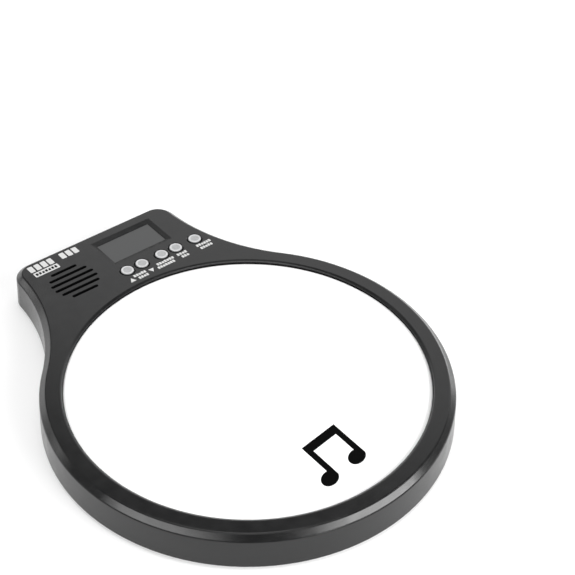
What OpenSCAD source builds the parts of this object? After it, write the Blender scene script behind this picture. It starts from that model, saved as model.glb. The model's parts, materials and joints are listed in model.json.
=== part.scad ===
// Electronic practice pad: a round playing surface with a control head.
// Millimetres, +Z up, +Y towards the head, standing on its feet at z = 0.

/* [Body] */
// Radius of the round body at the foot of its chamfer
ring_r = 120; // [118:0.5:122]
// Distance from the pad's centre to the head's far edge
head_reach = 168.4; // [167:0.1:170]
// Height of the top face above the surface it stands on
top_z = 24.5; // [24.5:0.1:26]
// Radius of the head's two far corners
corner_r = 13; // [11:0.5:14]
// Thickness of the moulded side wall
wall = 2.2; // [1.8:0.1:2.4]
// Thickness of the moulded top wall
roof = 2.4; // [2.2:0.1:2.6]
// How far the side wall leans out at its foot
draft = 0.7; // [0.3:0.1:1]

/* [Playing surface] */
// Radius of the opening that shows the playing surface
opening_r = 106.4; // [104:0.1:107]
// Depth of the playing surface below the top face
surface_drop = 2.5; // [2.4:0.1:3.2]
// Thickness of the silicone playing surface
surface_t = 3.5; // [3:0.1:4]
// Thickness of the damping foam below it
foam_t = 2.9; // [2:0.1:3]
// Thickness of the steel plate below the foam
plate_t = 1.2; // [1:0.1:1.6]

/* [Controls] */
// Diameter of a button cap
cap_d = 8.2; // [7.6:0.1:8.6]
// Height of a button cap above the top face
cap_proud = 0.6; // [0.6:0.1:1.2]
// Travel of a button
cap_travel = 0.6; // [0.4:0.1:0.7]
// Radius of the volume wheel
wheel_r = 14; // [13:0.5:14]
// Thickness of the volume wheel
wheel_t = 4.5; // [4:0.1:4.5]

/* [Display and speaker] */
// Width of the display that shows in its window
view_w = 39.2; // [36:0.2:40]
// Height of the display that shows in its window
view_h = 20.4; // [19:0.2:22]
// Depth of the window's lens below the top face
lens_drop = 1.65; // [1.4:0.05:1.8]
// Radius of the round speaker grille
grille_r = 15.4; // [14:0.1:16]
// Width of one slot in the grille
slot_w = 2.3; // [1.4:0.1:2.6]

/* [Feet] */
// Radius of a rubber foot
foot_r = 7; // [6:0.5:8]
// Height of a foot below the underside
foot_drop = 1.5; // [1.2:0.1:2]

/* [Hidden] */
$fn = 96;
eps = 0.01;

// The pad's centre lies here, so that the origin is under the middle of the whole
pad_y = -(head_reach - ring_r) / 2;

// Heights
base_z = foot_drop;
base_t = 2.2;
floor_z = base_z + base_t;
split_z = base_z + 1.4;
roof_z = top_z - roof;
surface_z = top_z - surface_drop;
foam_top = surface_z - surface_t;
plate_top = foam_top - foam_t;
plate_z = plate_top - plate_t;
isolator_t = 2;
isolator_w = 5;
rib_top = plate_z - isolator_t;
board_t = 1.6;
board_top = 14.5;
board_z = board_top - board_t;

// The side of the head: one concave arc from the round body to the far corner
neck_centre = [184, 162.4];
neck_r = norm(neck_centre) - ring_r;
neck_angle = atan2(neck_centre.y, neck_centre.x);
corner_y = head_reach - corner_r;
corner_reach = sqrt(pow(neck_r + corner_r, 2) - pow(neck_centre.y - corner_y, 2));
corner_x = round(100 * (neck_centre.x - corner_reach)) / 100;
corner_at = [corner_x, corner_y];
corner_angle = atan2(neck_centre.y - corner_y, neck_centre.x - corner_x);
// The body and the corners stand this far proud of the arc between them, which runs a
// little way on inside each, by an angle seen from its centre
step = 0.03;
neck_lap = 0.5;
corner_lap = 2.2;

// Edge of the moulding as [inset from the outline, height], from foot to top
edge = [
    [-draft, split_z],
    [0, top_z - 3.9],
    [0.12, top_z - 3.4],
    [0.5, top_z - 2.85],
    [3.2, top_z - 0.4],
    [3.7, top_z - 0.1],
    [4.2, top_z]
];
beyond = 25;
core_r = 100;

// Rounded lip of the opening as [radius, height], over an open gap all round the playing surface
lip_z = top_z - 1.5;
lip = [
    [opening_r, lip_z],
    [opening_r + 0.1, top_z - 1.2],
    [opening_r + 0.5, top_z - 0.5],
    [opening_r + 1, top_z - 0.12],
    [opening_r + 1.6, top_z]
];
surface_r = opening_r + 0.1;
pad_r = opening_r + 3.1;
well_r = pad_r + 0.3;
well_wall = 1.4;
foam_r = pad_r - 0.5;
foam_rim_gap = 0.05;
foam_rim_z = surface_z - 0.3;

// Support frame under the steel plate, with a notch for the sensor's wires
outer_seat_r = 102;
inner_seat_r = 48;
seat_w = 2;
arm_w = 1.6;
arm_h = 4.3;
wire_notch_x = -1;
wire_notch_w = 11;
wire_notch_z = 10;

// Case screws: five round the body, two in the neck, two in the far corners
boss_r = 3.7;
screw_r = 1.3;
screw_head_r = 2.6;
screw_head_t = 1.2;
screw_sunk = 0.2;
screw_bite = 9;
boss_z = floor_z + 0.3;
boss_ring = 114.5;
boss_places = concat(
    [for (a = [-140 : 50 : 10]) boss_ring * [cos(a), sin(a)]],
    [boss_ring * [cos(170), sin(170)]],
    [[66, 101], [-66, 101], [47.5, 158.5], [-47.5, 158.5]]
);

// Feet
foot_places = [[-84, -62], [84, -62], [-98, 36], [98, 36], [-40, 150], [40, 150]];
foot_pocket = 0.5;
foot_gap = 0.2;

// Bottom cover: a plate under the top cover's walls, with a rim that stands just inside them
lid_inset = 0.6;
lid_joint = 0.2;
lid_gap = 0.25;
lid_rim_w = 1.4;
lid_rim_h = 2.3;
screw_gap = 0.3;
screw_head_gap = 0.4;

// Sensor under the steel plate
piezo_r = 17.5;
piezo_t = 0.3;
ceramic_r = 12.5;
ceramic_t = 0.25;

// Buttons
button_y = 122.6;
button_x = [-0.2, 10.8, 25.8, 36.9, 51.8];
cap_gap = 0.4;
cap_sink = 0.7;
cap_flange_r = 5.2;
cap_flange_t = 1.3;
cap_stem_r = 2;
plunger_r = 1.75;
switch_w = 6;
switch_top = 18;
switch_clear = 0.2;
plunger_top = switch_top + cap_travel + switch_clear;
plunger_low = switch_top - 1.6;
plunger_room = 0.4;

// Display
view_centre = [18.25, 145.2];
window_slope_x = 2.8;
window_slope_y = 3;
window_land = 0.25;
lens_margin = 2.4;
lens_gap = 0.15;
lens_z = top_z - lens_drop;
lens_t = 1.2;
lens_w = view_w + 2 * lens_margin;
lens_h = view_h + 2 * lens_margin;
glass_w = 43;
glass_h = 25;
glass_t = 2.4;
glass_top = 21.5;

// Speaker
speaker_at = [-31.7, 134.4];
slot_pitch = 4.92;
slot_rows = 6;
flange_r = 18;
gasket_t = 0.6;

// Volume control, on the head's right side
side_at = [61.6, 137.8];
side_turn = 11.35;
wheel_proud = 0.6;
wheel_z = 4.5;
window_half = 9.4;
shroud_reach = 8;
shroud_wall = 1.2;
shroud_corner = 1;
shroud_overlap = 0.8;
arch_r = 13;
arch_z = 6;
shaft_r = 1.95;
rib_count = 44;

// Charging inlet, in the head's far wall
inlet_x = 22;
inlet_w = 8.94;
inlet_h = 3.26;
inlet_gap = 0.35;
inlet_mouth = head_reach - 1;
inlet_z = board_z - inlet_h / 2 - 0.05;

// Main board
board_holes = [[-8.5, 118.5], [-8.5, 160.5], [45.6, 149.5], [44.4, 117.3]];
board_outline = [
    [-12, 114.5], [55.2, 114.5], [55.2, 125.4], [52.4, 126.6], [52.4, 152],
    [42.5, 152], [42.5, 163.5], [-12, 163.5]
];
board_boss_r = 2.8;
board_screw_r = 1.1;

// Battery
battery_at = [-26, 134];
battery_w = 40;
battery_h = 34;
battery_t = 5;
tape_t = 0.3;

// Wires: each a list of places along its route
wire_r = 0.6;
wire_up = [0.31, 0.17, 1];
piezo_red_route = [
    [3, 14, 13.3], [3, 20, 13], [3, 30, 11.2], [3, 47, 10.9], [3, 70, 10.9],
    [3, 92, 10.9], [3, 104, 10.9], [1, 112, 11.4], [-1, 118, 12.2]
];
piezo_black_route = [
    [6, 10, 13.1], [6, 20, 12.9], [6, 30, 11.2], [6, 47, 10.9], [6, 70, 10.9],
    [6, 92, 10.9], [6, 104, 10.9], [4, 112, 11.4], [2, 118, 12.2]
];
speaker_red_route = [
    [-17.6, 132, 18], [-15.5, 131, 16.4], [-14.2, 130, 13.6], [-13, 130, 12], [-10, 130, 12.2]
];
speaker_black_route = [
    [-17.6, 137, 18], [-15.5, 137.4, 16.4], [-14.2, 137.8, 13.6], [-13, 138, 12], [-10, 138, 12.2]
];
battery_red_route = [[-5.9, 121, 7], [-4.4, 121, 7], [-2.4, 122, 8], [-0.8, 123.4, 10], [1, 125, 12.2]];
battery_black_route = [[-5.9, 147, 7], [-4, 147, 7], [-2, 146, 8.6], [-0.6, 145, 11], [1, 143, 12.2]];

// ---- Shared shapes, all about the pad's centre ----

module in_frame() {
    translate([0, pad_y, 0]) children();
}

module both_sides() {
    children();
    mirror([1, 0, 0]) children();
}

module at_each(places) {
    for (p = places) translate([p.x, p.y, 0]) children();
}

module tube(outer, inner, z0, z1) {
    difference() {
        translate([0, 0, z0]) cylinder(r = outer, h = z1 - z0);
        translate([0, 0, z0 - 1]) cylinder(r = inner, h = z1 - z0 + 2);
    }
}

module post(r, z0, z1) {
    translate([0, 0, z0]) cylinder(r = r, h = z1 - z0);
}

module slab(w, h, z0, z1) {
    translate([-w / 2, -h / 2, z0]) cube([w, h, z1 - z0]);
}

module round_rect(w, h, r) {
    square([w - 2 * r, h], center = true);
    square([w, h - 2 * r], center = true);
    for (x = [-1, 1], y = [-1, 1]) translate([x * (w / 2 - r), y * (h / 2 - r)]) circle(r = r);
}

module round_slab(w, h, r, z0, z1) {
    translate([0, 0, z0]) linear_extrude(z1 - z0) round_rect(w, h, r);
}

// Plan of the head, grown or shrunk by an inset, from the middle of the body;
// its sides still lack their hollow, and its far corners their round
module head_plan(inset, start_r) {
    neck_way = [cos(neck_angle - neck_lap), sin(neck_angle - neck_lap)];
    corner_way = [cos(corner_angle + corner_lap), sin(corner_angle + corner_lap)];
    right = [
        start_r * neck_way, (ring_r - inset + 1) * neck_way,
        corner_at + (corner_r - inset + 1) * corner_way, corner_at, [corner_x, head_reach - inset]
    ];
    count = len(right);
    left = [for (i = [1 : count]) [-right[count - i].x, right[count - i].y]];
    polygon(concat(right, left));
}

// The whole outline as a straight-walled block
module plain_block(inset, z0, z1) {
    post(ring_r - inset, z0, z1);
    difference() {
        translate([0, 0, z0]) linear_extrude(z1 - z0) head_plan(inset, 0.1);
        both_sides() translate([neck_centre.x, neck_centre.y, 0])
            post(neck_r + inset + step, z0 - 1, z1 + 1);
    }
    both_sides() translate([corner_x, corner_y, 0]) post(corner_r - inset, z0, z1);
}

// Cutters that leave the moulded edge along a concave arc and a straight side
module arc_cutter(r) {
    rim = [for (e = edge) [r + e[0], e[1]]];
    foot = [[0, split_z - 1], [r - draft, split_z - 1]];
    peak = [[rim[len(rim) - 1].x, top_z + 1], [0, top_z + 1]];
    rotate_extrude() polygon(concat(foot, rim, peak));
}

module far_side_cutter() {
    rim = [for (e = edge) [head_reach - e[0], e[1]]];
    foot = [[head_reach + beyond, split_z - 1], [head_reach + draft, split_z - 1]];
    peak = [[rim[len(rim) - 1].x, top_z + 1], [head_reach + beyond, top_z + 1]];
    rotate([90, 0, 90]) linear_extrude(4 * corner_x, center = true) polygon(concat(foot, rim, peak));
}

// Part of a round upright with the moulded edge, on by an angle from its own x axis
module edged_sector(r, start_r, angle) {
    rim = [for (e = edge) [r - e[0], e[1]]];
    rotate_extrude(angle = angle) polygon(concat([[start_r, split_z]], rim, [[start_r, top_z]]));
}

// The whole outline with the moulded edge round its top, open in the middle
module edged_block() {
    rotate([0, 0, 180 - neck_angle]) edged_sector(ring_r, core_r, 180 + 2 * neck_angle);
    difference() {
        translate([0, 0, split_z]) linear_extrude(top_z - split_z) head_plan(-draft, core_r);
        both_sides() translate([neck_centre.x, neck_centre.y, 0]) arc_cutter(neck_r + step);
        far_side_cutter();
    }
    both_sides() translate([corner_x, corner_y, 0]) rotate([0, 0, 90]) mirror([0, 1, 0])
        edged_sector(corner_r, 0, 90 - corner_angle);
}

// ---- Covers ----

module on_side_wall() {
    translate([side_at.x, side_at.y, 0]) rotate([0, 0, side_turn]) children();
}

module window_profile(half, slope) {
    right = [
        [half, roof_z - 1], [half, lens_z + window_land], [half + slope, top_z],
        [half + slope, top_z + 1]
    ];
    left = [for (i = [len(right) - 1 : -1 : 0]) [-right[i].x, right[i].y]];
    linear_extrude(80, center = true) polygon(concat(right, left));
}

module display_window() {
    translate([view_centre.x, view_centre.y, 0]) intersection() {
        rotate([90, 0, 0]) window_profile(view_w / 2, window_slope_x);
        rotate([90, 0, 90]) window_profile(view_h / 2, window_slope_y);
    }
    translate([view_centre.x, view_centre.y, 0]) slab(lens_w + 2 * lens_gap, lens_h + 2 * lens_gap,
        roof_z - 1, lens_z);
}

module grille_slots() {
    for (row = [0 : slot_rows - 1]) {
        y = (row - (slot_rows - 1) / 2) * slot_pitch;
        half = round(20 * sqrt(grille_r * grille_r - y * y)) / 20 - slot_w / 2;
        translate([speaker_at.x, speaker_at.y + y, 0]) {
            slab(2 * half, slot_w, roof_z - 1, top_z + 1);
            for (x = [-half, half]) translate([x, 0, 0]) post(slot_w / 2, roof_z - 1, top_z + 1);
        }
    }
}

module wheel_window() {
    on_side_wall() intersection() {
        translate([-6.4, 0, arch_z]) rotate([0, 90, 0]) cylinder(r = arch_r, h = 12);
        translate([-7, -window_half, wheel_z - 0.3]) cube([14, 2 * window_half, 20]);
    }
}

module wheel_shroud() {
    half = window_half + shroud_wall;
    root = shroud_overlap - wall;
    on_side_wall() intersection() {
        difference() {
            translate([0, 0, board_top + 0.1]) linear_extrude(roof_z - board_top) polygon([
                [-shroud_reach, half], [-shroud_reach, shroud_corner - half],
                [shroud_corner - shroud_reach, -half], [root, -half], [root, half]
            ]);
            translate([shroud_wall - shroud_reach, -window_half, board_top - 1])
                cube([10, 2 * window_half, 5.5]);
        }
        translate([-9, -20, board_top]) cube([9, 40, roof_z - board_top + 0.5]);
    }
}

module button_hole() {
    hole_r = cap_d / 2 + cap_gap;
    post(hole_r, roof_z - 1, top_z + 1);
    translate([0, 0, top_z - cap_sink]) cylinder(r1 = hole_r, r2 = hole_r + 2 * cap_sink, h = 2 * cap_sink);
}

module top_cover() {
    color("#26272a") in_frame() difference() {
        edged_block();
        difference() {
            plain_block(wall, split_z - 1, roof_z);
            tube(well_r + well_wall, opening_r - 1, plate_top - 1, roof_z + 1);
            at_each(boss_places) post(boss_r, boss_z, roof_z + 1);
            at_each(board_holes) post(board_boss_r, board_top, roof_z + 1);
            wheel_shroud();
        }
        post(well_r, split_z - 1, lip_z);
        rotate_extrude() polygon(concat([[0, lip_z - 1], [opening_r, lip_z - 1]], lip,
            [[lip[len(lip) - 1].x, top_z + 1], [0, top_z + 1]]));
        display_window();
        grille_slots();
        wheel_window();
        for (x = button_x) translate([x, button_y, 0]) button_hole();
        at_each(boss_places) post(screw_r, boss_z - 1, boss_z + screw_bite + 1);
        at_each(board_holes) post(board_screw_r, board_top - 1, board_top + 5);
        translate([inlet_x, head_reach - wall - 1, inlet_z]) rotate([-90, 0, 0])
            round_slab(inlet_w + 2 * inlet_gap, inlet_h + 2 * inlet_gap, 1.9, 0, wall + 3);
    }
}

module bottom_cover() {
    color("#1f2022") in_frame() difference() {
        union() {
            plain_block(lid_inset, base_z, split_z - lid_joint);
            plain_block(wall + lid_gap, split_z - lid_joint - 0.1, floor_z);
            difference() {
                plain_block(wall + lid_gap, floor_z - eps, floor_z + lid_rim_h);
                plain_block(wall + lid_gap + lid_rim_w, floor_z - 1, floor_z + lid_rim_h + 1);
                at_each(boss_places) post(boss_r + 0.4, floor_z - 1, floor_z + lid_rim_h + 1);
                on_side_wall() translate([-8, -wheel_r, floor_z - 1]) cube([10, 2 * wheel_r, 5]);
            }
            at_each(boss_places) post(boss_r + 0.2, floor_z - eps, boss_z);
        }
        at_each(boss_places) post(screw_r + screw_gap, 0, boss_z + 1);
        at_each(boss_places) post(screw_head_r + screw_head_gap, 0, base_z + screw_sunk + screw_head_t);
        at_each(foot_places) post(foot_r + foot_gap, 0, base_z + foot_pocket);
    }
}

// A spider of two rings and eight arms that carries the steel plate on its isolators
module support_frame() {
    color("#2c2d31") in_frame() difference() {
        union() {
            for (r = [outer_seat_r, inner_seat_r]) tube(r + seat_w / 2, r - seat_w / 2, floor_z, rib_top);
            for (a = [22.5 : 45 : 337.5]) rotate([0, 0, a])
                translate([inner_seat_r, -arm_w / 2, floor_z])
                    cube([outer_seat_r - inner_seat_r, arm_w, arm_h]);
        }
        translate([wire_notch_x, inner_seat_r - 8, wire_notch_z]) cube([wire_notch_w, 70, 5]);
    }
}

// ---- The playing surface and what lies below it ----

module playing_surface() {
    color("#f4f4f2") in_frame() post(surface_r, foam_top, surface_z);
}

// The foam is a tray: its rim stands round the playing surface, under the cover's lip
module damping_foam() {
    color("#2b2c2f") in_frame() difference() {
        post(foam_r, plate_top, foam_rim_z);
        post(surface_r + foam_rim_gap, foam_top, surface_z + 1);
    }
}

module backing_plate() {
    color("#a9adb2") in_frame() post(pad_r - 0.3, plate_z, plate_top);
}

module outer_isolator() {
    color("#3a3b3e") in_frame()
        tube(outer_seat_r + isolator_w / 2, outer_seat_r - isolator_w / 2, rib_top, plate_z);
}

module inner_isolator() {
    color("#3a3b3e") in_frame()
        tube(inner_seat_r + isolator_w / 2, inner_seat_r - isolator_w / 2, rib_top, plate_z);
}

module piezo_disc() {
    color("#c9a24a") in_frame() post(piezo_r, plate_z - piezo_t, plate_z);
}

module piezo_ceramic() {
    color("#e9e4d6") in_frame() post(ceramic_r, plate_z - piezo_t - ceramic_t, plate_z - piezo_t);
}

// ---- Buttons, each over its own switch ----

module button(i) {
    top = top_z + cap_proud;
    r = cap_d / 2;
    flange_z = roof_z - 0.1 - cap_flange_t;
    color("#cfd0d2") in_frame() translate([button_x[i], button_y, 0]) rotate_extrude() polygon([
        [0, plunger_top], [cap_stem_r, plunger_top], [cap_stem_r, flange_z], [cap_flange_r, flange_z],
        [cap_flange_r, flange_z + cap_flange_t], [r, flange_z + cap_flange_t], [r, top - 0.6],
        [r - 0.1, top - 0.3], [r - 0.3, top - 0.1], [r - 0.6, top], [r - 1.1, top - 0.05],
        [r - 1.6, top - 0.2], [0, top - 0.3]
    ]);
}

module plunger(i) {
    color("#2b2c2e") in_frame() translate([button_x[i], button_y, 0])
        post(plunger_r, plunger_low, plunger_top);
}

module switch(i) {
    color("#3c3f45") in_frame() translate([button_x[i], button_y, 0]) difference() {
        union() {
            slab(switch_w, switch_w, board_top, switch_top - 0.4);
            slab(switch_w - 0.6, switch_w - 0.6, switch_top - 0.5, switch_top);
        }
        post(plunger_r + 0.1, plunger_low - cap_travel - plunger_room, switch_top + 1);
    }
}

// ---- Display ----

module at_display() {
    in_frame() translate([view_centre.x, view_centre.y, 0]) children();
}

module display_lens() {
    color("#8f9494") at_display() slab(lens_w, lens_h, lens_z - lens_t, lens_z);
}

module display_glass() {
    color("#7f8783") at_display() slab(glass_w, glass_h, glass_top - glass_t, glass_top);
}

module display_holder() {
    ledge = glass_top - glass_t;
    color("#e6e6e2") at_display() difference() {
        slab(glass_w + 4, glass_h + 4, board_top, glass_top);
        slab(glass_w + 0.2, glass_h + 0.2, ledge, glass_top + 1);
        slab(glass_w - 5, glass_h - 7, board_top - 1, ledge + 1);
        translate([0, 1.6 - glass_h / 2, 0]) slab(glass_w - 6, 2, board_top - 1, ledge + 1);
    }
}

module display_backlight() {
    color("#f2f2ea") at_display() slab(glass_w - 5.4, glass_h - 7.4, board_top, glass_top - glass_t - 0.2);
}

module display_connector() {
    color("#d98c9a") at_display() translate([0, 1.6 - glass_h / 2, 0])
        slab(glass_w - 6.4, 1.6, board_top, glass_top - glass_t);
}

// ---- Speaker ----

module at_speaker() {
    in_frame() translate([speaker_at.x, speaker_at.y, 0]) children();
}

module speaker_gasket() {
    color("#2c2d30") at_speaker() tube(flange_r, grille_r + 0.8, roof_z - gasket_t, roof_z);
}

module speaker_frame() {
    top = roof_z - gasket_t;
    color("#8d9094") at_speaker() rotate_extrude() polygon([
        [flange_r, top], [flange_r, top - 1], [16.4, top - 1], [12.6, 16.4], [10.4, 15.4],
        [4.5, 15.4], [4.5, 16.2], [10, 16.2], [11.8, 17], [15.6, top - 0.8], [15.6, top]
    ]);
}

module speaker_cone() {
    top = roof_z - gasket_t;
    color("#2a2a2b") at_speaker() rotate_extrude() polygon([
        [15.4, top - 0.1], [15.4, top - 0.6], [14.6, top - 0.4], [13.6, top - 0.9], [5.2, 17.4],
        [4, 17.4], [4, 16.4], [3.6, 16.4], [3.6, 17.9], [2.6, 18.5], [1.2, 18.85], [0, 18.95],
        [0, 19.2], [1.3, 19.1], [2.8, 18.75], [4.2, 18], [13.4, top - 0.4], [14.6, top]
    ]);
}

module speaker_magnet() {
    color("#6c6f73") at_speaker() difference() {
        union() {
            post(9.2, 11.6, 15.4);
            post(9.8, 10.6, 11.6);
        }
        tube(4.4, 3.2, 12.4, 16);
    }
}

module at_speaker_screws() {
    for (a = [30 : 120 : 270]) rotate([0, 0, a]) translate([flange_r + 2.6, 0, 0]) children();
}

module speaker_screws() {
    head_z = roof_z - gasket_t - 1;
    color("#9fa2a6") at_speaker() at_speaker_screws() difference() {
        union() {
            post(3.2, head_z - 1.2, head_z);
            post(1.1, head_z - eps, roof_z);
        }
        translate([0, 0, head_z - 1.2]) cross_recess(1.8, 0.5);
    }
}

// ---- Volume control ----

module at_wheel() {
    in_frame() on_side_wall() translate([wheel_proud - wheel_r, 0, 0]) children();
}

module volume_wheel() {
    color("#2e2f32") at_wheel() difference() {
        rotate_extrude() polygon([
            [shaft_r, wheel_z], [wheel_r - 0.4, wheel_z], [wheel_r, wheel_z + 0.4],
            [wheel_r, wheel_z + wheel_t - 0.4], [wheel_r - 0.4, wheel_z + wheel_t],
            [wheel_r - 2.4, wheel_z + wheel_t], [wheel_r - 2.8, wheel_z + wheel_t - 1],
            [4.6, wheel_z + wheel_t - 1], [4.2, wheel_z + wheel_t], [shaft_r, wheel_z + wheel_t]
        ]);
        for (i = [0 : rib_count - 1]) rotate([0, 0, i * 360 / rib_count])
            translate([wheel_r + 0.15, 0, wheel_z - 1]) cylinder(r = 0.6, h = wheel_t + 2, $fn = 16);
    }
}

module volume_shaft() {
    color("#b7b9bc") at_wheel() difference() {
        post(shaft_r, wheel_z + 0.4, board_z - 0.6);
        translate([-1.5, -0.35, wheel_z]) cube([3, 0.7, 1.2]);
    }
}

module volume_pot() {
    low = wheel_z + wheel_t + 0.3;
    color("#2a2b2e") at_wheel() difference() {
        union() {
            slab(9.4, 9.4, low + 0.6, board_z);
            post(3.4, low, low + 1);
        }
        post(shaft_r + 0.05, low - 1, board_z - 0.4);
    }
}

// ---- Electronics ----

module main_board() {
    color("#1f5a3a") in_frame() difference() {
        translate([0, 0, board_z]) linear_extrude(board_t) polygon(board_outline);
        at_each(board_holes) post(board_screw_r + 0.2, board_z - 1, board_top + 1);
    }
}

module controller_chip() {
    color("#1b1c1e") in_frame() translate([14, 146, 0]) slab(10, 10, board_z - 1.4, board_z);
}

module amplifier_chip() {
    color("#1b1c1e") in_frame() translate([-4, 134, 0]) slab(4.9, 3.9, board_z - 1.5, board_z);
}

module board_capacitor() {
    color("#9aa0a8") in_frame() translate([10, 131, 0]) {
        slab(6.6, 6.6, board_z - 0.6, board_z);
        post(3.15, board_z - 5.4, board_z - 0.5);
    }
}

module at_inlet() {
    in_frame() translate([inlet_x, inlet_mouth, inlet_z]) rotate([90, 0, 0]) children();
}

module charging_inlet() {
    color("#c2c5c9") at_inlet() difference() {
        round_slab(inlet_w, inlet_h, 1.5, 0, 7.3);
        round_slab(inlet_w - 0.6, inlet_h - 0.6, 1.2, -1, 6.5);
    }
}

module inlet_tongue() {
    color("#1a1a1c") at_inlet() slab(6.6, 0.7, 1, 6.5);
}

module battery() {
    low = floor_z + tape_t;
    color("#b9bcc0") in_frame() translate([battery_at.x, battery_at.y, 0])
        round_slab(battery_w, battery_h, 2.4, low, low + battery_t);
}

module battery_tape() {
    color("#e8e3c8") in_frame() translate([battery_at.x, battery_at.y, 0])
        slab(battery_w - 8, battery_h - 8, floor_z, floor_z + tape_t);
}

// ---- Wires ----

function unit(v) = v / norm(v);

function blend_point(a, b, c, d, t) = 0.5 * (2 * b + (c - a) * t + (2 * a - 5 * b + 4 * c - d) * t * t
    + (3 * b - a - 3 * c + d) * t * t * t);

function smooth_route(p, steps) = let (last = len(p) - 1) [
    for (i = [0 : last - 1], k = [0 : steps - 1])
        blend_point(p[max(i - 1, 0)], p[i], p[i + 1], p[min(i + 2, last)], k / steps),
    p[last]
];

module wire(route, r = wire_r, sides = 8, steps = 3) {
    q = smooth_route(route, steps);
    last = len(q) - 1;
    points = [
        for (i = [0 : last])
            let (
                t = unit(q[min(i + 1, last)] - q[max(i - 1, 0)]),
                u = unit(cross(t, wire_up)),
                v = cross(t, u)
            )
                for (k = [0 : sides - 1]) q[i] + r * (cos(360 * k / sides) * u + sin(360 * k / sides) * v)
    ];
    walls = [
        for (i = [0 : last - 1], k = [0 : sides - 1]) let (n = (k + 1) % sides)
            [i * sides + k, (i + 1) * sides + k, (i + 1) * sides + n, i * sides + n]
    ];
    start = [[for (k = [0 : sides - 1]) k]];
    end = [[for (k = [sides - 1 : -1 : 0]) last * sides + k]];
    in_frame() polyhedron(points, concat(start, walls, end), convexity = 6);
}

module piezo_wire_red() { color("#b3261e") wire(piezo_red_route); }
module piezo_wire_black() { color("#202022") wire(piezo_black_route); }
module speaker_wire_red() { color("#b3261e") wire(speaker_red_route); }
module speaker_wire_black() { color("#202022") wire(speaker_black_route); }
module battery_wire_red() { color("#b3261e") wire(battery_red_route); }
module battery_wire_black() { color("#202022") wire(battery_black_route); }

// ---- Fasteners and feet ----

module cross_recess(size, depth) {
    slab(size, 0.5, -eps, depth);
    slab(0.5, size, -eps, depth);
}

module case_screws() {
    head_z = base_z + screw_sunk;
    color("#8b8e92") in_frame() at_each(boss_places) difference() {
        union() {
            post(screw_head_r, head_z, head_z + screw_head_t);
            post(screw_r, head_z + screw_head_t - eps, boss_z + screw_bite);
        }
        translate([0, 0, head_z]) cross_recess(2.8, 0.6);
    }
}

module board_screws() {
    color("#8b8e92") in_frame() at_each(board_holes) difference() {
        union() {
            post(2.2, board_z - 1.2, board_z);
            post(board_screw_r, board_z - eps, board_top + 4.5);
        }
        translate([0, 0, board_z - 1.2]) cross_recess(2, 0.5);
    }
}

module foot(i) {
    at = foot_places[i];
    color("#1b1b1c") in_frame() translate([at.x, at.y, 0]) rotate_extrude() polygon([
        [0, 0], [foot_r - 0.6, 0], [foot_r - 0.2, 0.15], [foot_r, 0.6],
        [foot_r, base_z + foot_pocket], [0, base_z + foot_pocket]
    ]);
}

top_cover();
bottom_cover();
support_frame();
playing_surface();
damping_foam();
backing_plate();
outer_isolator();
inner_isolator();
piezo_disc();
piezo_ceramic();
piezo_wire_red();
piezo_wire_black();
button(0);  // tempo_up_button
button(1);  // tempo_down_button
button(2);  // rhythm_button
button(3);  // beat_button
button(4);  // power_button
switch(0);  // tempo_up_switch
switch(1);  // tempo_down_switch
switch(2);  // rhythm_switch
switch(3);  // beat_switch
switch(4);  // power_switch
plunger(0);  // tempo_up_plunger
plunger(1);  // tempo_down_plunger
plunger(2);  // rhythm_plunger
plunger(3);  // beat_plunger
plunger(4);  // power_plunger
display_lens();
display_glass();
display_backlight();
display_holder();
display_connector();
speaker_frame();
speaker_cone();
speaker_magnet();
speaker_gasket();
speaker_screws();
speaker_wire_red();
speaker_wire_black();
volume_wheel();
volume_shaft();
volume_pot();
main_board();
controller_chip();
amplifier_chip();
board_capacitor();
charging_inlet();
inlet_tongue();
battery();
battery_tape();
battery_wire_red();
battery_wire_black();
case_screws();
board_screws();
foot(0);  // foot_front_left
foot(1);  // foot_front_right
foot(2);  // foot_side_left
foot(3);  // foot_side_right
foot(4);  // foot_head_left
foot(5);  // foot_head_right
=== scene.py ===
"""Looks of the electronic practice pad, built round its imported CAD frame.

Lengths are in metres. Those in mm are named so, or are multiplied by MM where they are used.
"""

import json
import math

import bmesh
import bpy
from mathutils import Matrix, Vector
from mathutils.bvhtree import BVHTree


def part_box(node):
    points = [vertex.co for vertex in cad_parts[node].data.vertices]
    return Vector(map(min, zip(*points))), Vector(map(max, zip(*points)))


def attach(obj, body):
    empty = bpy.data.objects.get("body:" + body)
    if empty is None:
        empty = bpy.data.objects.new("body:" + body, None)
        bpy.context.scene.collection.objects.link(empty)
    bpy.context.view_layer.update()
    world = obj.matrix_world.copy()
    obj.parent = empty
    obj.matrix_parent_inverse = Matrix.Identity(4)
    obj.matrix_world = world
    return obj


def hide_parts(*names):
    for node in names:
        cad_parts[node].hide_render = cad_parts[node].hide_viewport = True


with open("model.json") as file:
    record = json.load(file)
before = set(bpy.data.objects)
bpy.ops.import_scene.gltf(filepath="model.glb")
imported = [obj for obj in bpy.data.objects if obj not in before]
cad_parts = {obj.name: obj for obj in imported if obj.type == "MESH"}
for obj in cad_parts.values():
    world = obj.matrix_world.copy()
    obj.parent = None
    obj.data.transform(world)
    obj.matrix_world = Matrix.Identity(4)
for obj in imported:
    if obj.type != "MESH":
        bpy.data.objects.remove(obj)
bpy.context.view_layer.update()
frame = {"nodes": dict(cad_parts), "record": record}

MM = 0.001
NODES = frame["nodes"]
PAD_LOW, PAD_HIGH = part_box("playing_surface")
PAD = Vector(((PAD_LOW.x + PAD_HIGH.x) / 2, (PAD_LOW.y + PAD_HIGH.y) / 2, 0))
PAD_RADIUS = (PAD_HIGH.x - PAD_LOW.x) / 2
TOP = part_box("top_cover")[1].z

# ---- Camera ----

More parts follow.
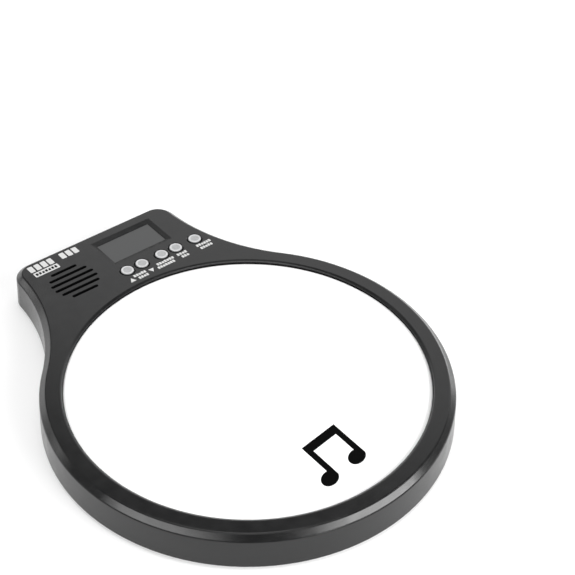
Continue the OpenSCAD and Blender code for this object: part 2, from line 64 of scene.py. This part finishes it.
# The camera looks past the middle of the pad's face, CAMERA_ASIDE and CAMERA_ABOVE it in its own directions
CAMERA_AZIMUTH = math.radians(-40.11)
CAMERA_ELEVATION = math.radians(40.29)
CAMERA_ROLL = math.radians(1.504)
CAMERA_DISTANCE = 854.23 * MM
CAMERA_ASIDE = 22.49 * MM
CAMERA_ABOVE = 51.90 * MM
SENSOR_MM = 36
LENS_MM = 92.722852


def make_camera():
    az, el, roll = CAMERA_AZIMUTH, CAMERA_ELEVATION, CAMERA_ROLL
    back = Vector((math.sin(az) * math.cos(el), -math.cos(az) * math.cos(el), math.sin(el)))
    right = Vector((math.cos(az), math.sin(az), 0))
    up = back.cross(right)
    right_rolled = right * math.cos(roll) + up * math.sin(roll)
    up_rolled = up * math.cos(roll) - right * math.sin(roll)
    place = Vector((PAD.x, PAD.y, TOP)) + back * CAMERA_DISTANCE
    place += right_rolled * CAMERA_ASIDE + up_rolled * CAMERA_ABOVE
    data = bpy.data.cameras.new("camera")
    data.sensor_width = SENSOR_MM
    data.lens = LENS_MM
    data.clip_start, data.clip_end = 0.05, 60
    camera = bpy.data.objects.new("camera", data)
    turn = Matrix((right_rolled, up_rolled, back)).transposed().to_4x4()
    camera.matrix_world = Matrix.Translation(place) @ turn
    bpy.context.scene.collection.objects.link(camera)
    bpy.context.scene.camera = camera


# ---- Materials ----

# Nearly all of a noise texture's values lie between these
NOISE_LOW, NOISE_HIGH = 0.3, 0.7
COAT_ROUGH = 0.1


def shader(name):
    material = bpy.data.materials.new(name)
    material.use_nodes = True
    nodes = material.node_tree.nodes
    return material, nodes, material.node_tree.links, nodes["Principled BSDF"]


def noise(nodes, links, scale, detail, stretch):
    """A noise texture in the object's own space, with features about 1 / scale metres across."""
    place = nodes.new("ShaderNodeTexCoord")
    mapping = nodes.new("ShaderNodeMapping")
    mapping.inputs["Scale"].default_value = stretch
    texture = nodes.new("ShaderNodeTexNoise")
    texture.inputs["Scale"].default_value = scale
    texture.inputs["Detail"].default_value = detail
    links.new(place.outputs["Object"], mapping.inputs["Vector"])
    links.new(mapping.outputs["Vector"], texture.inputs["Vector"])
    return texture.outputs["Fac"]


def spread(nodes, links, value, low, high, from_low=NOISE_LOW, from_high=NOISE_HIGH):
    change = nodes.new("ShaderNodeMapRange")
    change.inputs["From Min"].default_value = from_low
    change.inputs["From Max"].default_value = from_high
    change.inputs["To Min"].default_value = low
    change.inputs["To Max"].default_value = high
    links.new(value, change.inputs["Value"])
    return change.outputs["Result"]


def shades(nodes, links, value, dark, light):
    ramp = nodes.new("ShaderNodeValToRGB")
    ramp.color_ramp.elements[0].position = NOISE_LOW
    ramp.color_ramp.elements[1].position = NOISE_HIGH
    ramp.color_ramp.elements[0].color = (*dark, 1)
    ramp.color_ramp.elements[1].color = (*light, 1)
    links.new(value, ramp.inputs["Fac"])
    return ramp.outputs["Color"]


def finish(
    name,
    colour,
    rough,
    metal=0.0,
    grain=2500,
    depth=0.01,
    mottle=0.06,
    mottle_scale=120,
    rough_spread=0.06,
    stretch=(1, 1, 1),
    coat=0.0,
    sheen=0.0,
    cells=0,
    specular=0.5,
):
    """A material with its own colour and roughness variation, and a surface grain, or pores if cells is set.

    depth is the bump's, in mm. mottle_scale, grain and cells are in features per metre.
    """
    material, nodes, links, bsdf = shader(name)
    dark = [c * (1 - mottle) for c in colour]
    light = [min(1, c * (1 + mottle)) for c in colour]
    patches = noise(nodes, links, mottle_scale, detail=4, stretch=stretch)
    links.new(shades(nodes, links, patches, dark, light), bsdf.inputs["Base Color"])
    if cells:
        place = nodes.new("ShaderNodeTexCoord")
        pores = nodes.new("ShaderNodeTexVoronoi")
        pores.inputs["Scale"].default_value = cells
        links.new(place.outputs["Object"], pores.inputs["Vector"])
        fine = pores.outputs["Distance"]
    else:
        fine = noise(nodes, links, grain, detail=2, stretch=stretch)
    links.new(
        spread(nodes, links, patches, rough - rough_spread, rough + rough_spread), bsdf.inputs["Roughness"]
    )
    bump = nodes.new("ShaderNodeBump")
    bump.inputs["Strength"].default_value = 1
    bump.inputs["Distance"].default_value = depth * MM
    links.new(fine, bump.inputs["Height"])
    links.new(bump.outputs["Normal"], bsdf.inputs["Normal"])
    bsdf.inputs["Metallic"].default_value = metal
    bsdf.inputs["Specular IOR Level"].default_value = specular
    bsdf.inputs["Coat Weight"].default_value = coat
    bsdf.inputs["Coat Roughness"].default_value = COAT_ROUGH
    bsdf.inputs["Sheen Weight"].default_value = sheen
    return material


LOOKS = {
    "case_plastic": dict(
        colour=(0.0035, 0.0036, 0.0038), rough=0.23, grain=1700, depth=0.008, mottle=0.1, rough_spread=0.04
    ),
    "playing_silicone": dict(
        colour=(0.94, 0.94, 0.937), rough=0.62, grain=1800, depth=0.012, mottle=0.01, sheen=0.1
    ),
    # The foam is near black with little specular so that its rim, seen in the gap under the opening's lip,
    # reads as a black gap: painted shade.
    "grey_foam": dict(
        colour=(0.006, 0.006, 0.0065), rough=0.9, cells=1400, depth=0.15, mottle=0.15, specular=0.08
    ),
    "steel_plate": dict(
        colour=(0.5, 0.51, 0.53), rough=0.32, metal=1, stretch=(0.08, 1, 1), grain=4000, depth=0.004
    ),
    "brass": dict(
        colour=(0.62, 0.43, 0.15), rough=0.3, metal=1, stretch=(0.1, 1, 1), grain=4000, depth=0.003
    ),
    "ceramic": dict(colour=(0.78, 0.75, 0.66), rough=0.55, mottle=0.04),
    "button_plastic": dict(
        colour=(0.33, 0.333, 0.337),
        rough=0.33,
        grain=1100,
        depth=0.02,
        mottle=0.12,
        mottle_scale=900,
        coat=0.6,
    ),
    "switch_plastic": dict(colour=(0.04, 0.042, 0.047), rough=0.45),
    "plunger_plastic": dict(colour=(0.02, 0.02, 0.022), rough=0.4),
    "lens": dict(
        colour=(0.042, 0.043, 0.0435), rough=0.16, grain=500, depth=0.001, mottle=0.03, mottle_scale=60
    ),
    "display_grey": dict(colour=(0.2, 0.22, 0.21), rough=0.12, depth=0.001, mottle=0.03),
    "white_plastic": dict(colour=(0.75, 0.75, 0.72), rough=0.45),
    "contact_rubber": dict(
        colour=(0.6, 0.25, 0.3), rough=0.6, stretch=(6, 0.2, 1), mottle=0.4, mottle_scale=500
    ),
    "speaker_steel": dict(colour=(0.36, 0.37, 0.38), rough=0.38, metal=1, grain=3000, depth=0.006),
    "speaker_paper": dict(
        colour=(0.005, 0.005, 0.005), rough=0.9, grain=2200, depth=0.05, stretch=(1, 0.3, 1)
    ),
    "zinc_screw": dict(colour=(0.5, 0.51, 0.52), rough=0.3, metal=1, grain=2500, depth=0.004),
    "wheel_plastic": dict(colour=(0.018, 0.018, 0.019), rough=0.4, grain=2600, depth=0.008),
    "shaft_metal": dict(colour=(0.72, 0.72, 0.73), rough=0.28, metal=1, stretch=(1, 1, 0.1)),
    "pot_plastic": dict(colour=(0.012, 0.012, 0.013), rough=0.4),
    "board_green": dict(colour=(0.012, 0.085, 0.035), rough=0.3, mottle=0.35, mottle_scale=300, coat=0.4),
    "chip_black": dict(colour=(0.012, 0.012, 0.013), rough=0.5, grain=5000),
    "inlet_metal": dict(
        colour=(0.6, 0.6, 0.62), rough=0.25, metal=1, stretch=(1, 0.15, 1), grain=3000, depth=0.003
    ),
    "battery_foil": dict(
        colour=(0.6, 0.61, 0.63), rough=0.35, metal=1, grain=160, depth=0.12, mottle=0.05
    ),
    "tape": dict(colour=(0.75, 0.7, 0.5), rough=0.8, grain=1500, depth=0.03),
    "foot_rubber": dict(colour=(0.014, 0.014, 0.014), rough=0.75, grain=1800, depth=0.03, mottle=0.2),
    "wire_red": dict(colour=(0.5, 0.02, 0.015), rough=0.3, coat=0.3, mottle=0.05),
    "wire_black": dict(colour=(0.012, 0.012, 0.013), rough=0.3, coat=0.3, mottle=0.05),
    "white_print": dict(
        colour=(0.58, 0.58, 0.575), rough=0.5, grain=2600, depth=0.004, mottle=0.05, mottle_scale=700
    ),
    "grey_print": dict(
        colour=(0.2, 0.2, 0.2), rough=0.5, grain=2600, depth=0.004, mottle=0.05, mottle_scale=700
    ),
    "black_print": dict(
        colour=(0.0012, 0.0012, 0.0012), rough=0.7, grain=2600, depth=0.004, mottle=0.1, specular=0.04
    ),
}
LOOK = {name: finish(name, **settings) for name, settings in LOOKS.items()}


def tint_past(material, start, full, colour):
    """Blend the colour in from one height to another, in the object's own space."""
    nodes, links = material.node_tree.nodes, material.node_tree.links
    bsdf = nodes["Principled BSDF"]
    under = bsdf.inputs["Base Color"].links[0].from_socket
    place = nodes.new("ShaderNodeTexCoord")
    split = nodes.new("ShaderNodeSeparateXYZ")
    mix = nodes.new("ShaderNodeMixRGB")
    links.new(place.outputs["Object"], split.inputs["Vector"])
    links.new(spread(nodes, links, split.outputs["Z"], 0, 1, start, full), mix.inputs["Fac"])
    links.new(under, mix.inputs["Color1"])
    mix.inputs["Color2"].default_value = (*colour, 1)
    links.new(mix.outputs["Color"], bsdf.inputs["Base Color"])


# Each button has a painted highlight on its rim, where its edge would catch the lamps, and painted shade on
# its skirt, below the face of the case, where the gap round the button falls in shadow.
# Each colour blends in between two heights in mm, measured for the rim from the button's top and for the
# skirt from the case's face.
CAP_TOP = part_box("power_button")[1].z
RIM_HIGHLIGHT_BLEND, RIM_HIGHLIGHT_COLOUR = (-0.17, -0.07), (0.53, 0.533, 0.538)
# The skirt's dark colour is painted shade for the gap round the button.
SKIRT_SHADE_BLEND, SKIRT_SHADE_COLOUR = (0.12, -0.05), (0.02, 0.02, 0.021)
for face, (start, full), colour in ((CAP_TOP, RIM_HIGHLIGHT_BLEND, RIM_HIGHLIGHT_COLOUR), (TOP, SKIRT_SHADE_BLEND, SKIRT_SHADE_COLOUR)):
    tint_past(LOOK["button_plastic"], face + start * MM, face + full * MM, colour)


def dress_nodes():
    for part in frame["record"]["subparts"]:
        data = NODES[part["node"]].data
        data.materials.clear()
        data.materials.append(LOOK[part["material_slot"]])


# ---- Building pieces ----

CORNER_STEPS = 4


def finished_mesh(bm, name):
    bmesh.ops.recalc_face_normals(bm, faces=bm.faces)
    mesh = bpy.data.meshes.new(name)
    bm.to_mesh(mesh)
    bm.free()
    return mesh


def add_piece(name, mesh, look, smooth_angle=None):
    obj = bpy.data.objects.new(name, mesh)
    bpy.context.scene.collection.objects.link(obj)
    mesh.materials.append(LOOK[look])
    if smooth_angle is not None:
        mesh.shade_smooth()
        mesh.set_sharp_from_angle(angle=math.radians(smooth_angle))
    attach(obj, "housing")
    return obj


def lathe(name, profile, steps):
    """A closed turned shape about the pad's centre. The profile's first and last points lie on the axis."""
    bm = bmesh.new()
    ends = [bm.verts.new((PAD.x, PAD.y, profile[i][1])) for i in (0, -1)]
    rings = []
    for r, z in profile[1:-1]:
        turn = [2 * math.pi * k / steps for k in range(steps)]
        rings.append([bm.verts.new((PAD.x + r * math.cos(a), PAD.y + r * math.sin(a), z)) for a in turn])
    for k in range(steps):
        n = (k + 1) % steps
        bm.faces.new((ends[0], rings[0][n], rings[0][k]))
        bm.faces.new((ends[1], rings[-1][k], rings[-1][n]))
        for lower, upper in zip(rings, rings[1:]):
            bm.faces.new((lower[k], lower[n], upper[n], upper[k]))
    return finished_mesh(bm, name)


def hoop(name, profile, steps):
    """A closed ring about the pad's centre, from a closed profile of (radius, height) points."""
    bm = bmesh.new()
    turn = [2 * math.pi * k / steps for k in range(steps)]
    rings = []
    for r, z in profile:
        rings.append([bm.verts.new((PAD.x + r * math.cos(a), PAD.y + r * math.sin(a), z)) for a in turn])
    for lower, upper in zip(rings, rings[1:] + rings[:1]):
        for k in range(steps):
            n = (k + 1) % steps
            bm.faces.new((lower[k], lower[n], upper[n], upper[k]))
    return finished_mesh(bm, name)


def add_prism(bm, outline, low, high):
    """A closed flat-sided shape from an outline of (x, y) points in mm from the pad's centre."""
    places = [(PAD.x + x * MM, PAD.y + y * MM) for x, y in outline]
    lower = [bm.verts.new((*p, low)) for p in places]
    upper = [bm.verts.new((*p, high)) for p in places]
    bm.faces.new(list(reversed(lower)))
    bm.faces.new(upper)
    for k in range(len(places)):
        n = (k + 1) % len(places)
        bm.faces.new((lower[k], lower[n], upper[n], upper[k]))


def prisms(name, outlines, low, high):
    bm = bmesh.new()
    for outline in outlines:
        add_prism(bm, outline, low, high)
    return finished_mesh(bm, name)


def rounded_box(x0, x1, y0, y1, r):
    """Outline of a rectangle with rounded corners, counter-clockwise."""
    r = min(r, (x1 - x0) / 2 - 0.001, (y1 - y0) / 2 - 0.001)
    outline = []
    corners = ((x1 - r, y0 + r, -90), (x1 - r, y1 - r, 0), (x0 + r, y1 - r, 90), (x0 + r, y0 + r, 180))
    for cx, cy, start in corners:
        for k in range(CORNER_STEPS + 1):
            a = math.radians(start + 90 * k / CORNER_STEPS)
            outline.append((cx + r * math.cos(a), cy + r * math.sin(a)))
    return outline


# ---- Playing surface ----

# The disc's rounded shoulder as (inset, drop) in mm, and where the straight side begins
SHOULDER = ((1.2, 0), (0.6, 0.05), (0.2, 0.2), (0.05, 0.42))
SIDE_DROP = 0.8
FLAT_RINGS = (0.3, 0.6, 0.9)
SKIN_STEPS = 256


def make_playing_skin():
    """The silicone disc: flat and satin, with softly rounded edges."""
    r, low, high = PAD_RADIUS, PAD_LOW.z, PAD_HIGH.z
    profile = [(0, low)] + [(r * k, low) for k in FLAT_RINGS]
    profile += [(r - inset * MM, low + drop * MM) for inset, drop in SHOULDER]
    profile += [(r, low + SIDE_DROP * MM), (r, high - SIDE_DROP * MM)]
    profile += [(r - inset * MM, high - drop * MM) for inset, drop in reversed(SHOULDER)]
    profile += [(r * k, high) for k in reversed(FLAT_RINGS)] + [(0, high)]
    skin = add_piece("playing_skin", lathe("playing_skin", profile, SKIN_STEPS), "playing_silicone", 40)
    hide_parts("playing_surface")


# A narrow moulded bead low on the opening's lip. Its points are the distances past the
# pad's edge and up from the case's face, in mm, and the outer two lie inside the lip.
BEAD = ((0.5, -0.5), (-0.1, -0.76), (0.05, -1.1), (0.5, -1.1))
BEAD_STEPS = 360


def make_opening_bead():
    profile = [(PAD_RADIUS + out * MM, TOP + z * MM) for out, z in BEAD]
    bead = add_piece("opening_bead", hoop("opening_bead", profile, BEAD_STEPS), "case_plastic", 20)


# ---- Prints ----

# Places on the prints are in mm, +X right and +Y away, from the pad's centre. The notes' are from NOTE_AT.
# A print stands PRINT_MM proud, and reaches SUNK_MM into what it is printed on.
PRINT_MM = 0.04
SUNK_MM = 0.05

# The mark on the playing surface: two notes under one sloping beam
NOTE_AT = (0.6, -74)
NOTE_SCALE = 1.12
NOTE_STROKE = 3.9
STEM_LEFT_X, STEM_RIGHT_X = -9.5, 10.2
BEAM_LOW, BEAM_HIGH, BEAM_SLOPE = 8, 13.4, 0.13
NOTE_HEAD_RADII = (5.6, 4.1)
NOTE_HEAD_TILT = math.radians(24)
NOTE_HEAD_INSET = 5.2
NOTE_LEFT_Y, NOTE_RIGHT_Y = -11.4, -8.6
NOTE_HEAD_STEPS = 120


def note_head(stem_left, stem_right, y):
    """Points from the stem's left side, round the head by its left and bottom, to the stem's right side."""
    cx, cos, sin = stem_right - NOTE_HEAD_INSET, math.cos(NOTE_HEAD_TILT), math.sin(NOTE_HEAD_TILT)
    ring = []
    for k in range(NOTE_HEAD_STEPS):
        turn = 2 * math.pi * k / NOTE_HEAD_STEPS
        u, v = NOTE_HEAD_RADII[0] * math.cos(turn), NOTE_HEAD_RADII[1] * math.sin(turn)
        ring.append((cx + u * cos - v * sin, y + u * sin + v * cos))
    first = next(k for k in range(NOTE_HEAD_STEPS) if ring[k][0] < stem_left and ring[k][1] > y)
    ring = ring[first:] + ring[:first]
    arc = ring[: next(k for k in range(NOTE_HEAD_STEPS) if ring[k][0] >= stem_right)]
    return [(stem_left, arc[0][1] + 0.1)] + arc + [(stem_right, arc[-1][1] + 0.6)]


def note_pair():
    """A beamed pair of notes as one outline."""
    stroke = NOTE_STROKE / NOTE_SCALE
    left, left_in = STEM_LEFT_X, STEM_LEFT_X + stroke
    right_in, right = STEM_RIGHT_X, STEM_RIGHT_X + stroke

    def beam(x, y):
        return (x, y + BEAM_SLOPE * x)

    outline = [beam(left_in, BEAM_LOW), beam(right_in, BEAM_LOW)]
    outline += note_head(right_in, right, NOTE_RIGHT_Y)
    outline += [beam(right, BEAM_HIGH), beam(left, BEAM_HIGH)]
    outline += note_head(left, left_in, NOTE_LEFT_Y)
    return [(NOTE_AT[0] + x * NOTE_SCALE, NOTE_AT[1] + y * NOTE_SCALE) for x, y in outline]


# Plain bars in place of words. Some bars are a little shorter than their row, as letters are.
SHORTENED = (0, 0, 0.16, 0, 0.1)
BAR_CORNER_R = 0.25
TITLE_CORNER_R = 0.6
TITLE_X, TITLE_PITCH, TITLE_BAR_W = -49, 4.6, 3.5
TITLE_Y = (156.7, 162.5)
TITLE_BARS = (0, 1, 2, 3, 5, 6, 7)
TITLE_BOX = (-48.7, -31.2, 151.1, 155.5)
TITLE_DASHES = (-47.6, -32.2, 152.2, 154.4)
DASH_W, DASH_GAP, DASH_LIFT = 1.5, 0.75, 0.03
MARK_BAR_W, MARK_BAR_GAP = 1.5, 0.36

# The small print below the buttons, as (x from, x to, y from, y to)
MARK_ROWS = (
    (-0.5, 9.8, 114.1, 116.4),
    (1.2, 8.4, 110.9, 113.1),
    (17.5, 30.4, 114.7, 116.9),
    (16.2, 30.4, 111.6, 113.8),
    (33.2, 41.5, 114.7, 116.9),
    (34.6, 40.4, 111.5, 113.7),
    (48.2, 58.9, 114.6, 116.8),
    (49.1, 58.4, 111.2, 113.4),
)
UP_ARROW = [(-5, 111.3), (-1, 111.3), (-3, 114.9)]
DOWN_ARROW = [(12.2, 111.6), (14.1, 115.1), (10.3, 115.1)]


def letters(x0, x1, y0, y1, width, gap):
    """Plain upright bars in place of a row of small print."""
    bars = []
    for k in range(int((x1 + 0.2 - x0 - width) / (width + gap)) + 1):
        x = x0 + k * (width + gap)
        short = SHORTENED[k % len(SHORTENED)] * (y1 - y0)
        low, high = (y0, y1 - short) if k % 2 == 0 else (y0 + short, y1)
        bars.append(rounded_box(x, x + width, low, high, BAR_CORNER_R))
    return bars


def print_on(name, outlines, face, look, lift=0):
    """A print on a level face. lift is how far in mm its top stands above other prints."""
    low = face if lift else face - SUNK_MM * MM
    add_piece(name, prisms(name, outlines, low, face + (PRINT_MM + lift) * MM), look)


def make_top_prints():
    places = [TITLE_X + TITLE_PITCH * k for k in TITLE_BARS]
    title = [rounded_box(x, x + TITLE_BAR_W, *TITLE_Y, TITLE_CORNER_R) for x in places]
    print_on("title_bars", title, TOP, "white_print")
    print_on("title_box", [rounded_box(*TITLE_BOX, TITLE_CORNER_R)], TOP, "white_print")
    dashes = letters(*TITLE_DASHES, DASH_W, DASH_GAP)
    print_on("title_dashes", dashes, TOP, "black_print", lift=DASH_LIFT)

    marks = [UP_ARROW, DOWN_ARROW]
    for row in MARK_ROWS:
        marks += letters(*row, MARK_BAR_W, MARK_BAR_GAP)
    print_on("button_marks", marks, TOP, "white_print")


def make_pad_mark():
    print_on("pad_mark", [note_pair()], PAD_HIGH.z, "black_print")


# How far to the right of the pad's centre a ray towards the wall starts, well outside the case
RAY_START = 0.2
PATCH_STEPS = 4

# Bars on the wall, as (y from, y to, depth below the top from, depth to)
WALL_TITLE = [(159.2, 162.4, 4 + 2.3 * k, 5.7 + 2.3 * k) for k in range(6)]
WALL_WEDGE = [(152.6, 153.2 + 0.36 * k, 7 + 1.9 * k, 8 + 1.9 * k) for k in range(7)]


def wall_patch(bm, tree, y0, y1, z0, z1):
    """A thin closed patch on the head's right wall. y in mm from the pad's centre, z in mm below the top."""
    rows = []
    for i in range(PATCH_STEPS + 1):
        row = []
        for z in (z0, z1):
            y = y0 + (y1 - y0) * i / PATCH_STEPS
            start = Vector((PAD.x + RAY_START, PAD.y + y * MM, TOP - z * MM))
            hit, normal, _, _ = tree.ray_cast(start, Vector((-1, 0, 0)))
            proud, sunk = hit + normal * PRINT_MM * MM, hit - normal * SUNK_MM * MM
            row.append((bm.verts.new(proud), bm.verts.new(sunk)))
        rows.append(row)
    for (a, b), (c, d) in zip(rows, rows[1:]):
        bm.faces.new((a[0], c[0], d[0], b[0]))
        bm.faces.new((a[1], b[1], d[1], c[1]))
        bm.faces.new((a[0], a[1], c[1], c[0]))
        bm.faces.new((b[0], d[0], d[1], b[1]))
    for a, b in (rows[0], rows[-1]):
        bm.faces.new((a[0], b[0], b[1], a[1]))


def make_wall_prints():
    """A column of bars beside the wheel, and the bars of a growing volume wedge."""
    cover = NODES["top_cover"].data
    tree = BVHTree.FromPolygons([v.co for v in cover.vertices], [p.vertices for p in cover.polygons])
    prints = (("wall_title", "white_print", WALL_TITLE), ("wall_wedge", "grey_print", WALL_WEDGE))
    for name, look, patches in prints:
        bm = bmesh.new()
        for patch in patches:
            wall_patch(bm, tree, *patch)
        add_piece(name, finished_mesh(bm, name), look)


# ---- Floor and light ----

FLOOR_HALF = 12.0
FLOOR_WHITE = 0.66
FLOOR_GLOW = 0.35
FLOOR_ROUGH, FLOOR_SPECULAR = 0.75, 0.2


def make_floor():
    """A white table with a little light of its own, so that shadows stay pale away from the pad."""
    bpy.ops.mesh.primitive_plane_add(size=2 * FLOOR_HALF, location=(0, 0, 0))
    floor = bpy.context.object
    floor.name = "floor"
    material, _, _, bsdf = shader("floor")
    bsdf.inputs["Base Color"].default_value = (FLOOR_WHITE, FLOOR_WHITE, FLOOR_WHITE, 1)
    bsdf.inputs["Emission Color"].default_value = (1, 1, 1, 1)
    bsdf.inputs["Emission Strength"].default_value = FLOOR_GLOW
    bsdf.inputs["Roughness"].default_value = FLOOR_ROUGH
    bsdf.inputs["Specular IOR Level"].default_value = FLOOR_SPECULAR
    floor.data.materials.append(material)


# Brightness of the studio by the sine of the height above the horizon
SKY = ((0.0, 0.6), (0.12, 0.55), (0.28, 0.4), (0.42, 0.22), (0.9, 0.22), (0.965, 2.2), (1.0, 3.4))
SKY_MOST = 3.5


def make_world():
    world = bpy.data.worlds.new("studio")
    bpy.context.scene.world = world
    world.use_nodes = True
    nodes, links = world.node_tree.nodes, world.node_tree.links
    background = nodes["Background"]
    place = nodes.new("ShaderNodeTexCoord")
    split = nodes.new("ShaderNodeSeparateXYZ")
    ramp = nodes.new("ShaderNodeValToRGB")
    elements = ramp.color_ramp.elements
    while len(elements) < len(SKY):
        elements.new(0.5)
    for element, (height, light) in zip(elements, SKY):
        element.position = height
        element.color = (light / SKY_MOST, light / SKY_MOST, light / SKY_MOST, 1)
    links.new(place.outputs["Generated"], split.inputs["Vector"])
    links.new(split.outputs["Z"], ramp.inputs["Fac"])
    links.new(ramp.outputs["Color"], background.inputs["Color"])
    background.inputs["Strength"].default_value = SKY_MOST


# Each panel's azimuth and elevation in degrees, distance, width and height in metres, and radiance
PANELS = {
    "left_softbox": (191, 34, 1.6, 1.45, 0.5, 5.1),
    "right_softbox": (-69, 30, 1.6, 1.6, 0.56, 10.0),
    "back_panel": (34, 31, 2.0, 2.3, 1.2, 1.0),
    "back_left_panel": (92, 12, 2.0, 1.6, 0.9, 1.3),
    "low_card": (12, 3, 1.2, 0.55, 0.3, 5.5),
    "high_card": (114, 50, 1.6, 0.5, 0.5, 0.9),
    "side_card": (125, 22, 1.6, 0.42, 0.45, 2.4),
}


def add_panel(name, azimuth, elevation, distance, width, height, radiance):
    """A soft panel light that faces the pad. Azimuth is the compass way it stands in, from +X."""
    a, e = math.radians(azimuth), math.radians(elevation)
    way = Vector((math.cos(a) * math.cos(e), math.sin(a) * math.cos(e), math.sin(e)))
    data = bpy.data.lights.new(name, "AREA")
    data.shape = "RECTANGLE"
    data.size, data.size_y = width, height
    data.energy = radiance * math.pi * width * height
    light = bpy.data.objects.new(name, data)
    light.location = Vector((PAD.x, PAD.y, TOP)) + way * distance
    light.rotation_mode = "QUATERNION"
    light.rotation_quaternion = way.to_track_quat("Z", "Y")
    light.visible_camera = False
    bpy.context.scene.collection.objects.link(light)


def make_lights():
    for name, settings in PANELS.items():
        add_panel(name, *settings)


make_camera()
dress_nodes()
make_playing_skin()
make_opening_bead()
make_pad_mark()
make_top_prints()
make_wall_prints()
make_floor()
make_world()
make_lights()

bpy.context.scene.view_settings.view_transform = "Standard"
